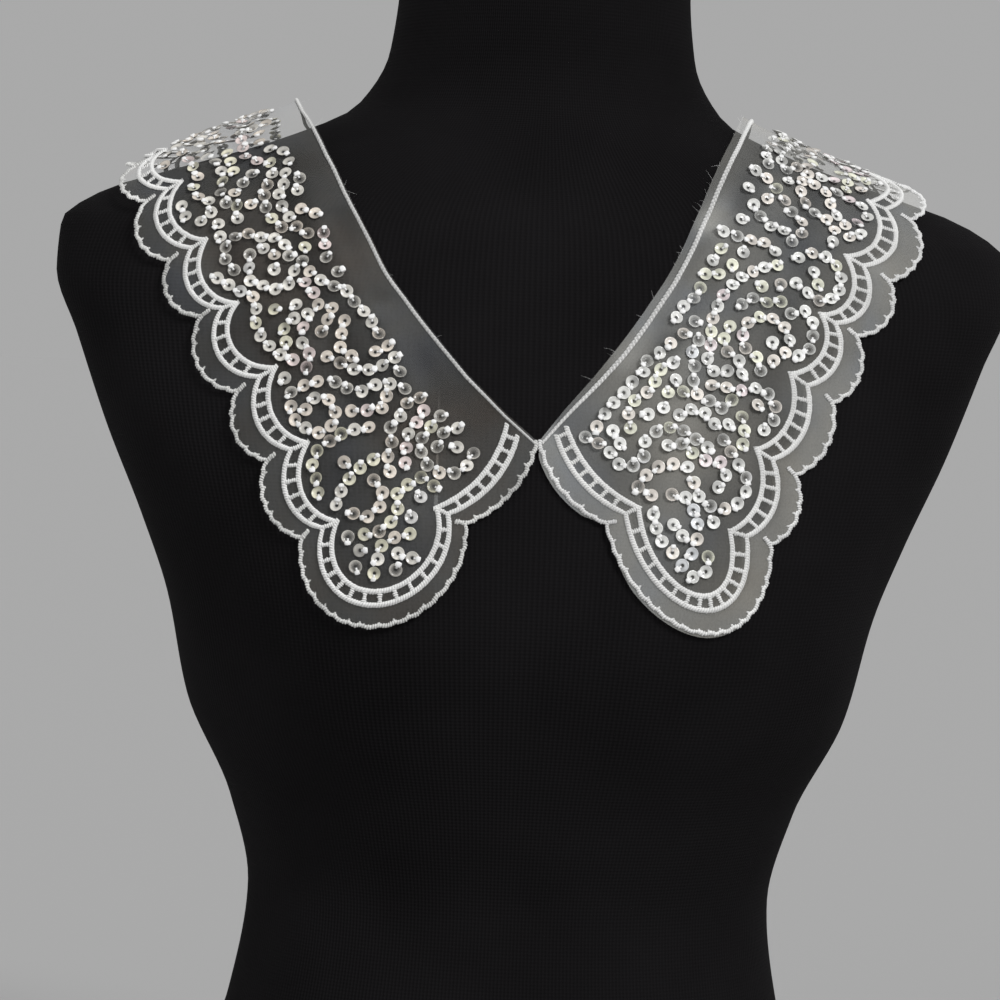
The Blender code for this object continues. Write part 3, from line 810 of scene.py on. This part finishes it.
def build_organza(organza, material):
    """One organza half as a thin closed shell on its solid's form."""
    cloth = organza.cloth
    inner = cloth.place(organza.points, organza.normals, organza.lift,
                        ORGANZA_HEIGHT - ORGANZA_WALL / 2)
    outer, grid = organza.outer, organza.grid
    points = np.concatenate([outer.reshape(-1, 3), inner.reshape(-1, 3)])
    under = grid.size
    faces = list(organza.quads)
    faces += [tuple(under + k for k in reversed(quad)) for quad in organza.quads]
    ring = np.concatenate([grid[:, 0], grid[-1, 1:], grid[-2::-1, -1], grid[0, -2:0:-1]]).tolist()
    for first, second in zip(ring, ring[1:] + ring[:1]):
        faces.append((second, first, under + first, under + second))
    if cloth.side > 0:
        faces = [tuple(reversed(face)) for face in faces]
    panel = piece("organza_" + cloth.name, points, faces, [material], 60)
    # body: painted light and shade on the organza, for its material's cover.
    store(panel, "body", np.tile(organza_painted_light(organza).ravel(), 2))
    run = run_along(outer[:, -1])
    across = np.concatenate([[0], np.cumsum(norm(np.diff(outer, axis=1), axis=2).mean(axis=0))])
    flat = np.stack(np.broadcast_arrays(run[:, None], across[None, :]), axis=-1).reshape(-1, 2) * MM
    flat = np.tile(flat, (2, 1))
    layer = panel.data.uv_layers.new(name="weave")
    corners = np.empty(len(panel.data.loops), int)
    panel.data.loops.foreach_get("vertex_index", corners)
    layer.data.foreach_set("uv", flat[corners].ravel())
    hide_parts("collar_" + cloth.name)
    return panel


# Satin

NECK_SKIP = 0.8
SMOOTHING = 4
WAVE_CHORD = 5.6
WAVE_DEPTH = 0.8
WAVE_MIDDLE = 0.62
WAVE_UNEVEN = 0.18
TOOTH_LENGTH = 1.5
TOOTH_SPREAD = (0.75, 1.2)
TOOTH_SWING = 0.5
TAIL_LENGTH = 3.6
TAIL_LIFT = 0.15
TAIL_AHEAD, TAIL_INWARD = 0.75, 0.65
SPUR_LENGTH = 1.0
RUNG_SQUARENESS = 0.85
FINE_SHARES = 60


def inward_of(organza):
    """Directions from the neck line into the cloth, and the cloth's normals along that line."""
    outer = organza.outer
    line = organza.neck_line
    beside = np.concatenate([outer[2, :-1], outer[:, -3]])
    ahead = unit(np.gradient(line, axis=0))
    inward = beside - line
    inward = unit(inward - (inward * ahead).sum(axis=1, keepdims=True) * ahead)
    padded = np.pad(inward, ((SMOOTHING, SMOOTHING), (0, 0)), mode="edge")
    kernel = np.ones(2 * SMOOTHING + 1) / (2 * SMOOTHING + 1)
    inward = unit(np.stack([np.convolve(column, kernel, "valid") for column in padded.T], axis=1))
    normals = np.concatenate([organza.turned[0, :-1], organza.turned[:, -1]])
    return line, inward, normals


def build_neck_satin(organza, material, draw):
    """The dense satin row along the neck edge."""
    cloth = organza.cloth
    line, inward, normals = inward_of(organza)
    satin = NECK_SATINS[cloth.name]
    centre = line + inward * (organza.margins[:, None] + satin.width / 2)
    laid = organza.laid(centre, normals)
    laid[:, 0] = cloth.side * np.maximum(cloth.side * laid[:, 0], SEAM_GAP / 2 + 0.5)
    shape = Shape()
    stitch_row(shape, laid, normals, satin, draw, taper=(0.6, 0.9))
    return satin_piece(cloth, "neck_satin_", "neck_cord_", shape, material)


def clear_start(organza, path, satin_width):
    """The first point of a line that is clear of the neck satin, or of the neck line itself."""
    gaps = norm(path[:, None] - organza.neck_line[None], axis=2)
    needs = organza.margins + satin_width + NECK_SKIP if satin_width else NECK_SKIP / 2
    return int((gaps > needs).all(axis=1).argmax())


def build_edge_satin(organza, material, draw):
    """The wavy satin row along the scallops, with teeth inward and a tail at each notch."""
    cloth = organza.cloth
    shape = Shape()
    middle = EDGE_SATIN.width / 2 / RAY_LENGTH
    for scallop in range(cloth.scallops):
        along = np.linspace(0, 1, 2 * FINE_SHARES + 1)
        path, normals = cloth.path(scallop, along, middle, CORD_FOOT)
        length = norm(np.diff(path, axis=0), axis=1).sum()
        waves = max(2, int(round(length / WAVE_CHORD)))
        uneven = draw.uniform(-WAVE_UNEVEN, WAVE_UNEVEN, waves - 1)
        shifts = np.sort(np.concatenate([[0, 1], (np.arange(1, waves) + uneven) / waves]))
        phase = np.interp(along, shifts, np.arange(len(shifts)))
        wave = np.abs(np.sin(pi * phase))
        rays = middle + (WAVE_DEPTH / RAY_LENGTH) * (WAVE_MIDDLE - wave)
        path, normals = cloth.path(scallop, along, rays, CORD_FOOT)
        inner, _ = cloth.path(scallop, along, middle + 0.1, CORD_FOOT)
        inward = unit(inner - path)
        ahead = unit(np.gradient(path, axis=0))
        if scallop < cloth.scallops - 1:
            hook = unit(TAIL_AHEAD * ahead[-1] + TAIL_INWARD * inward[-1])
            tail = path[-1] + hook * np.linspace(0.15, TAIL_LENGTH, 8)[:, None]
            tail = tail + normals[-1] * TAIL_LIFT
            stitch_row(shape, tail, normals[-1], TAIL_SATIN, draw, taper=(1.05, 0.55))
        start = clear_start(organza, path, 0) if scallop == 0 else 0
        stitch_row(shape, path[start:], normals[start:], EDGE_SATIN, draw, taper=(0.85, 0.95))
        for share in shifts[1:-1]:
            k = int(round(share * (len(along) - 1)))
            way = unit(inward[k] + draw.uniform(-TOOTH_SWING, TOOTH_SWING) * ahead[k])
            reach = TOOTH_LENGTH * draw.uniform(*TOOTH_SPREAD)
            tooth = path[k] + way * np.linspace(0.2, reach, 5)[:, None]
            stitch_row(shape, tooth, normals[k], TOOTH_SATIN, draw, taper=(1.2, 0.55))
    return satin_piece(cloth, "edge_satin_", "scallop_edge_", shape, material)


def build_ladder_satin(organza, material, draw):
    """The ladder: two satin rails for each scallop, the rungs between them and a spur at each cusp."""
    cloth = organza.cloth
    shape = Shape()
    half_rail = RAIL_SATIN.width / 2 / RAY_LENGTH
    outer_ray, inner_ray = LADDER_START + half_rail, 1 - half_rail
    for scallop, row in enumerate(cloth.rows[:-1]):
        along = np.linspace(0, 1, FINE_SHARES + 1)
        for ray in (outer_ray, inner_ray):
            path, normals = cloth.path(scallop, along, ray, CORD_FOOT)
            start = 0
            if scallop == 0:
                start = clear_start(organza, path, NECK_SATINS[cloth.name].width)
            path, normals = path[start:], normals[start:]
            if ray == inner_ray and scallop < cloth.scallops - 1:
                ahead = unit(path[-1] - path[-3])
                spur = path[-1] + ahead * np.linspace(0.3, SPUR_LENGTH, 4)[:, None]
                path = np.concatenate([path, spur])
                normals = np.concatenate([normals, np.repeat(normals[-1:], 4, axis=0)])
            stitch_row(shape, path, normals, RAIL_SATIN, draw, taper=(0.9, 0.8))
        fine = np.linspace(0, 1, 4 * FINE_SHARES + 1)
        inner, _ = cloth.path(scallop, fine, inner_ray, CORD_FOOT)
        first = 1 if scallop == 0 else 0
        for rung in range(first, row.windows):
            share = rung / row.windows
            foot, _ = cloth.path(scallop, np.array([share]), outer_ray, CORD_FOOT)
            square = fine[norm(inner - foot, axis=1).argmin()]
            end = blend(share, square, RUNG_SQUARENESS) if rung else 0.0
            alongs = np.linspace(share, end, 9)
            path, normals = cloth.path(scallop, alongs, np.linspace(outer_ray, inner_ray, 9), CORD_FOOT)
            stitch_row(shape, path, normals, RUNG_SATIN, draw)
    return satin_piece(cloth, "ladder_satin_", "ladder_", shape, material)


# Sequins

SEQUIN_RADIUS = 2.45
SEQUIN_SIDES = 16
RIM_START = 1.2
SEQUIN_TOP = ((0.62, 0.10), (0.98, 0.12), (1.5, 0.22), (2.15, 0.54), (2.45, 0.74))
SEQUIN_UNDER = ((2.42, 0.62), (1.3, 0.03), (0.62, 0.0))
# HOLE_SHADE: painted shade round each sequin's hole, as distances from the middle and how dark.
HOLE_SHADE = ((0.62, 1.0, 1.5), (0.42, 0.78, 1.0))
PITCHES = (5.1, 5.6)
LANE = 5.75
NEAREST_LANE = 0.86
FAR = 99.0
TO_LADDER = 4.0
# How far sequins keep from the neck edge, at some places along the wing
FIELD_ALONG = (0.0, 5.0, 9.0)
FIELD_GAPS = {"left": (17.0, 15.5, 12.0), "right": (12.0, 11.0, 15.0)}
TO_SEAM = 3.0
SHORTEST_CHAIN, LONGEST_CHAIN = 5, 15
# How a chain winds: its first bend, how often it takes another and how sharp that may be, how many
# other turns each step tries and how sharp, and how strongly open ground puts it off
FIRST_BEND = 0.7
BEND_CHANGE = 0.28
NEXT_BEND = 0.85
TURN_TRIES = 9
WIDEST_TURN = 1.25
OPEN_COST = 0.12
OPEN_LIMIT = 8.0
TILT = 0.24
TINTS = ((0.97, 0.97, 0.95), (0.94, 0.88, 0.82), (0.93, 0.93, 0.78), (0.95, 0.84, 0.86),
         (0.86, 0.88, 0.91), (0.82, 0.82, 0.80))
TINT_WEIGHTS = (0.42, 0.21, 0.12, 0.08, 0.03, 0.14)
# GLINT: how strongly each sequin is painted lighter on one side and darker on the other, as a painted
# glint and shade.
GLINT = 0.34
# The left half's sequins are painted darker and warmer and the right half's brighter: painted light and
# shade of each half.
WING_PAINTED_LIGHT = {"left": np.array([0.90, 0.87, 0.82]), "right": np.array([1.04, 1.04, 1.03])}


def in_field(organza, place, ray, along):
    """Whether a sequin's middle may lie at a place."""
    cloth = organza.cloth
    if ray < 1.0 or cloth.side * place[0] < TO_SEAM:
        return False
    if norm(organza.ladder_line - place, axis=1).min() < TO_LADDER:
        return False
    gap = np.interp(along, FIELD_ALONG, FIELD_GAPS[cloth.name])
    return norm(organza.neck_line - place, axis=1).min() > gap


def sequin_chains(organza, draw):
    """Places, normals and directions of sequins sewn in short winding chains."""
    field = organza.outer[::3, LADDER_ROWS::2].reshape(-1, 3)
    near = [organza.nearest(point) for point in field]
    spots = np.array([place for place, _, ray, along in near if in_field(organza, place, ray, along)])
    taken, chains = np.empty((0, 3)), []
    last = spots[norm(spots - organza.neck_line[0], axis=1).argmin()]
    while True:
        free = norm(spots[:, None] - taken[None], axis=2).min(axis=1, initial=FAR) > LANE
        if not free.any():
            break
        open_spots = spots[free]
        start = open_spots[norm(open_spots - last, axis=1).argmin()]
        place, normal, _, _ = organza.nearest(start)
        way = unit(np.cross(normal, draw.normal(size=3)))
        chain = [(place, normal, way)]
        bend = draw.uniform(-FIRST_BEND, FIRST_BEND)
        longest = draw.integers(SHORTEST_CHAIN, LONGEST_CHAIN)
        while len(chain) < longest:
            place, normal, way = chain[-1]
            side = np.cross(normal, way)
            if draw.random() < BEND_CHANGE:
                bend = draw.uniform(-NEXT_BEND, NEXT_BEND)
            best = None
            tries = draw.uniform(-WIDEST_TURN, WIDEST_TURN, TURN_TRIES)
            for turn in np.concatenate([[bend], tries]):
                ahead = unit(way * cos(turn) + side * sin(turn))
                step = draw.uniform(*PITCHES)
                spot, spot_normal, ray, along = organza.nearest(place + ahead * step)
                if not in_field(organza, spot, ray, along):
                    continue
                near = np.array([p for p, _, _ in chain[:-1]]).reshape(-1, 3)
                gap = norm(np.concatenate([taken, near]) - spot, axis=1).min(initial=FAR)
                if gap < LANE * NEAREST_LANE:
                    continue
                score = -abs(turn - bend) - OPEN_COST * min(gap - LANE, OPEN_LIMIT)
                if best is None or score > best[0]:
                    best = (score, spot, spot_normal, unit(spot - place))
            if best is None:
                break
            chain.append(best[1:])
        last = chain[-1][0]
        taken = np.concatenate([taken, [p for p, _, _ in chain]])
        chains.append(chain)
    return chains


def sequin_rings():
    """One cupped sequin with a hole: points, how near its rim each is, for the clear sequins' painted rim
    glint, its painted shade round the hole, and faces.
    """
    turns = np.linspace(0, 2 * pi, SEQUIN_SIDES, endpoint=False)
    profile = SEQUIN_TOP + SEQUIN_UNDER
    rings = [np.stack([r * np.cos(turns), r * np.sin(turns), np.full(len(turns), h)], axis=1)
             for r, h in profile]
    reach = np.repeat([r for r, _ in profile], len(turns))
    rim = np.clip((reach - RIM_START) / (SEQUIN_RADIUS - RIM_START), 0, 1)**2
    shade = np.interp(reach, *HOLE_SHADE)
    faces = [(a, d % len(reach), c % len(reach), b)
             for a, b, c, d in tube_faces(len(profile) + 1, SEQUIN_SIDES)]
    return np.concatenate(rings), rim, shade, faces


def ball(sides, rows):
    """A small closed ball of radius 1."""
    slope = np.repeat(np.linspace(-pi / 2, pi / 2, rows + 1)[1:-1], sides)
    turn = np.tile(np.linspace(0, 2 * pi, sides, endpoint=False), rows - 1)
    rings = [np.cos(slope) * np.cos(turn), np.cos(slope) * np.sin(turn), np.sin(slope)]
    points = np.concatenate([[[0, 0, -1]], np.stack(rings, axis=1), [[0, 0, 1]]])
    top = len(points) - 1
    faces = [[1 + k for k in face] for face in tube_faces(rows - 1, sides)]
    for side in range(sides):
        after = (side + 1) % sides
        faces += [(0, 1 + after, 1 + side), (top - sides + side, top - sides + after, top)]
    return points, faces


NUB_SIZE = np.array([1.0, 1.2, 0.5])
NUB_PLACE = np.array([2.2, 0, 0.6])
NUB_SQUARENESS = 0.6
NUB_SPREAD = (0.8, 1.15)
GLASSY_CHAINS = 0.3
CLEAR_SHARES = (0.12, 0.62)
SAME_TINT = 0.55
GLOWS = (0.78, 1.04)
THREAD_LINE = np.array([[0.42, 0, 0.02], [0.62, 0, 0.24], [1.2, 0, 0.34], [1.9, 0, 0.7]])
THREAD_HALF_WIDTH = 0.4
THREAD_HALF_HEIGHT = 0.14


def build_sequins(organza, pearl, clear, thread, draw):
    """The sequins of one half, and the thread that sews each down over its rim."""
    cup, rim, shade, cup_faces = sequin_rings()
    around = np.arctan2(cup[:, 1], cup[:, 0])
    knot, knot_faces = ball(8, 5)
    shape, sewing = Shape(), Shape()
    tints, rims, slots = [], [], []
    name = organza.cloth.name
    for chain in sequin_chains(organza, draw):
        glassy = draw.random() < GLASSY_CHAINS
        lean_way = draw.uniform(-0.5, 0.5)
        base_tint = draw.choice(len(TINTS), p=TINT_WEIGHTS)
        for k, (place, normal, way) in enumerate(chain):
            if k + 1 < len(chain):
                way = unit(chain[k + 1][0] - place)
            lean_ahead, lean_aside = TILT * draw.uniform(-1, 1), TILT * draw.uniform(-1, 1)
            up = unit(normal + lean_ahead * way + lean_aside * np.cross(normal, way))
            side = unit(np.cross(up, way))
            ahead = np.cross(side, up)
            middle = place + normal * (0.22 + 0.1 * draw.random())
            shape.add(cup @ np.stack([ahead, side, up]) + middle, cup_faces)
            pick = base_tint if draw.random() < SAME_TINT else draw.choice(len(TINTS), p=TINT_WEIGHTS)
            # Each sequin's colour: its tint, times painted shade round the hole, a painted glint on one
            # side, random tone, and its half's painted light.
            painted_glint = 1 + GLINT * draw.random() * (np.cos(around - draw.uniform(0, 2 * pi)) - 0.6)
            shade_glint_and_tone = (shade * painted_glint * draw.uniform(*GLOWS))[:, None]
            tint = np.clip(TINTS[pick] * WING_PAINTED_LIGHT[name] * shade_glint_and_tone, 0, 1)
            tints.append(np.column_stack([tint, np.ones(len(cup))]))
            rims.append(rim)
            see_through = draw.random() < CLEAR_SHARES[glassy]
            slots += [int(see_through)] * len(cup_faces)
            swing = lean_way + draw.uniform(-0.5, 0.5)
            out = ahead * cos(swing) + side * sin(swing)
            beside = np.cross(up, out)
            size = NUB_SIZE * draw.uniform(*NUB_SPREAD)
            lump = np.sign(knot) * np.abs(knot)**NUB_SQUARENESS * size
            lump = lump * draw.uniform(*NUB_SPREAD, knot.shape) + NUB_PLACE
            thread_axes = np.stack([out, beside, up])
            sewing.add(lump @ thread_axes + middle, knot_faces)
            centres = THREAD_LINE @ thread_axes + middle
            wide, tall = THREAD_HALF_WIDTH * beside, THREAD_HALF_HEIGHT * up
            rings = np.stack([centres + wide, centres + tall, centres - wide, centres - tall], axis=1)
            sewing.sleeve(rings)
    sequins = piece("sequins_" + name, np.concatenate(shape.points), shape.faces, [pearl, clear])
    sequins.data.polygons.foreach_set("material_index", slots)
    store(sequins, "tint", np.concatenate(tints), "FLOAT_COLOR")
    store(sequins, "rim", np.concatenate(rims))
    threads = piece("sequin_threads_" + name, np.concatenate(sewing.points), sewing.faces, [thread])
    print(name, "sequins", len(rims))
    return sequins, threads


# Frayed threads of the raw neck margin

HAIR_RADIUS = 0.036
HAIR_SPAN = (0.04, 0.97)
SHORT_HAIRS = (0.8, 2.6)
LONG_HAIRS = (3.0, 5.5)
SHORT_SHARE = 0.85


def build_fray(organza, material, count, draw):
    """Loose fibres that stand out from the cloth's neck edge."""
    line, inward, normals = inward_of(organza)
    ahead = unit(np.gradient(line, axis=0))
    run = run_along(line)
    shape = Shape()
    for _ in range(count):
        k = int(np.searchsorted(run, draw.uniform(*HAIR_SPAN) * run[-1]))
        length = draw.uniform(*(SHORT_HAIRS if draw.random() < SHORT_SHARE else LONG_HAIRS))
        out = unit(-inward[k] + ahead[k] * draw.uniform(-0.9, 0.9) + normals[k] * draw.uniform(0, 0.5))
        droop = normals[k] * draw.uniform(-0.3, 0.35) + ahead[k] * draw.uniform(-0.6, 0.6)
        share = np.linspace(0, 1, 6)[:, None]
        centres = line[k] + inward[k] * 0.4 + out * share * length + droop * share**2 * length * 0.8
        side = unit(np.cross(out, normals[k]))
        radius = HAIR_RADIUS * (1 - 0.6 * share)
        rings = np.stack([centres + side * radius, centres + normals[k] * radius,
                          centres - side * radius - normals[k] * radius * 0.6], axis=1)
        shape.sleeve(rings)
    return piece("frayed_threads_" + organza.cloth.name, np.concatenate(shape.points),
                 shape.faces, [material])


# Camera, light and floor

CAMERA_AZIMUTH = -2.0
CAMERA_HEIGHT_ANGLE = 3.0
CAMERA_ROLL = 2.4
CAMERA_DISTANCE = 1150.0
CAMERA_TARGET = (-9.5, NECK_AXIS_Y, 355.0)
CAMERA_LENS = 104.3


def add_camera():
    """The photo's view."""
    turn = (Matrix.Rotation(radians(CAMERA_AZIMUTH), 4, "Z")
            @ Matrix.Rotation(radians(90 - CAMERA_HEIGHT_ANGLE), 4, "X")
            @ Matrix.Rotation(radians(CAMERA_ROLL), 4, "Z"))
    data = bpy.data.cameras.new("camera")
    data.lens = CAMERA_LENS
    data.sensor_width = 36.0
    data.clip_end = 100.0
    camera = placed("camera", data)
    place = Vector(CAMERA_TARGET) + turn @ Vector((0, 0, CAMERA_DISTANCE))
    camera.matrix_world = Matrix.Translation(place * MM) @ turn
    bpy.context.scene.camera = camera


# Distant soft lamps: where each shines from, how wide it looks, and its strength
Lamp = namedtuple("Lamp", "name toward degrees strength")
LAMPS = (
    Lamp("key", (0.50, -0.62, 0.60), 20.0, 2.05),
    Lamp("fill", (-0.62, -0.66, 0.42), 50.0, 0.55),
)
SURROUND = 0.40
FLOOR_REACH = 40.0


def add_lamps():
    """Soft lamps, stronger from the right, and an even pale surround."""
    for lamp in LAMPS:
        data = bpy.data.lights.new(lamp.name, "SUN")
        data.angle = radians(lamp.degrees)
        data.energy = lamp.strength
        thing = placed(lamp.name, data)
        thing.rotation_euler = (-Vector(lamp.toward)).to_track_quat("-Z", "Y").to_euler()
    world = bpy.data.worlds.new("surround")
    world.use_nodes = True
    background = world.node_tree.nodes["Background"]
    background.inputs["Color"].default_value = (SURROUND, SURROUND, SURROUND, 1.0)
    bpy.context.scene.world = world


def add_floor():
    """A plain pale floor, just as bright under the lamps as the surround, so that no horizon shows."""
    lit = sum(lamp.strength * Vector(lamp.toward).normalized().z for lamp in LAMPS) / pi
    grey = SURROUND / (SURROUND + lit)
    pale = Surface("floor_pale", Base_Color=(grey, grey, grey, 1.0), Roughness=1.0,
                   Specular_IOR_Level=0.0)
    size = FLOOR_REACH
    mesh = bpy.data.meshes.new("floor")
    mesh.from_pydata([(-size, -size, 0), (size, -size, 0), (size, size, 0), (-size, size, 0)], [],
                     [(0, 1, 2, 3)])
    mesh.materials.append(pale.material)
    placed("floor", mesh)


# What differs between the halves: the organza's cover, with painted light that makes the right half
# brighter, and its tints, the colours of the satin, darker on the left half as painted shade, how many
# loose hairs there are, and the flat cut and its area in metres
Look = namedtuple("Look", "cover warm cool neck_thread edge_dark edge_light hairs cut area")
LOOKS = {
    "left": Look(0.031, (0.84, 0.74, 0.64), (0.74, 0.78, 0.84), (0.74, 0.74, 0.73), (0.50, 0.50, 0.49),
                 (0.90, 0.90, 0.88), 10, (0.147, 0.397), 0.0322),
    "right": Look(0.070, (0.84, 0.81, 0.73), (0.79, 0.83, 0.87), (0.92, 0.92, 0.91),
                  (0.72, 0.72, 0.72), (0.98, 0.98, 0.97), 45, (0.138, 0.396), 0.0313),
}


def main():
    bpy.context.scene.view_settings.view_transform = "Standard"
    add_camera()
    add_lamps()
    add_floor()
    form = build_form()
    pearl = sequin_material("sequin_pearl", False)
    clear = sequin_material("sequin_clear", True)
    white = satin_material("satin_white", (0.78, 0.78, 0.77), (0.95, 0.95, 0.94))
    sewing = thread_material()
    for wing in WINGS:
        look = LOOKS[wing.name]
        draw = np.random.default_rng(wing.seed)
        organza = Organza(Cloth(wing))
        # Each half's organza cover holds painted light: the right half covers more, so it shows brighter.
        panel = build_organza(organza, organza_material(
            "organza_" + wing.name, look.cover, look.warm, look.cool))
        # The edge and neck satin of each half are lit and shaded copies of one thread: the left half's
        # darker colours are painted shade.
        edge = satin_material("edge_satin_" + wing.name, look.edge_dark, look.edge_light)
        dark = tuple(0.82 * part for part in look.neck_thread)
        neck = satin_material("neck_satin_" + wing.name, dark, look.neck_thread)
        sewn = [build_neck_satin(organza, neck, draw), build_edge_satin(organza, edge, draw),
                build_ladder_satin(organza, white, draw)]
        sewn += build_sequins(organza, pearl, clear, sewing, draw)
        sewn.append(build_fray(organza, sewing, look.hairs, draw))


main()
